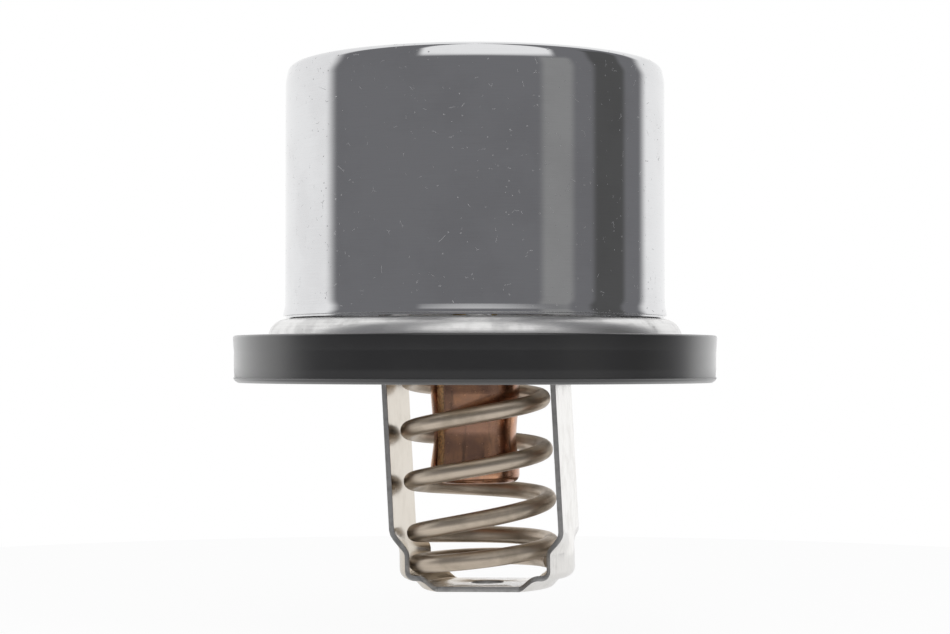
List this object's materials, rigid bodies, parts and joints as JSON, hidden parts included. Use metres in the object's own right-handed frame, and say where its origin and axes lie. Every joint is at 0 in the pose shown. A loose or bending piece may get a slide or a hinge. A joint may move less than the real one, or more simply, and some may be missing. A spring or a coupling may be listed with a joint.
{
  "type": "sleeve-type engine thermostat",
  "caption": "Heavy-duty coolant temperature valve: steel sleeve on a rubber-edged flange plate, with a wax capsule and a coil spring in a stirrup below.",
  "frame": {"origin": "on the sleeve's axis at the mid-plane of the flange seal", "axes": "+Z along the axis towards the sleeve's open top; the stirrup's legs stand at -X and +X"},
  "size_m": [0.0688, 0.0688, 0.0741],
  "materials": {
    "sleeve_steel": "mirror-polished stainless steel, reflections blurred a little along the tube",
    "plate_steel": "satin pressed stainless steel",
    "strap_steel": "rolled sheet steel with bright faces and dull grey cut edges",
    "spring_steel": "warm grey drawn spring wire with streaks along it",
    "rivet_steel": "plain steel rivets",
    "washer_steel": "plain steel",
    "ground_steel": "ground stainless pin",
    "copper": "drawn copper, darkened brown",
    "brass": "turned brass",
    "black_rubber": "satin black moulded rubber",
    "wax": "copper-filled wax, sealed in",
    "chafe_plastic": "white low-friction plastic"
  },
  "bodies": {
    "seat": {"seat_plate": "plate_steel", "flange_seal": "black_rubber", "element_bridge": "strap_steel", "bridge_rivets": "rivet_steel", "capsule_cup": "copper", "capsule_guide": "brass", "wax_charge": "wax", "diaphragm": "black_rubber", "rubber_plug": "black_rubber", "chafe_disc": "chafe_plastic", "capsule_lock_ring": "washer_steel", "spring_seat_washer": "washer_steel", "return_spring": "spring_steel"},
    "valve": {"valve_sleeve": "sleeve_steel", "cross_bar": "strap_steel", "piston_socket": "brass", "piston": "ground_steel", "stirrup": "strap_steel", "stirrup_rivets": "rivet_steel"}
  },
  "joints": [
    {"name": "sleeve_lift", "type": "slide", "parent": "seat", "child": "valve", "axis": [0, 0, 1], "range_m": [0, 0.01], "stiffness_N_per_m": 4000, "springref_m": -0.012, "deforming": ["return_spring"]}
  ]
}
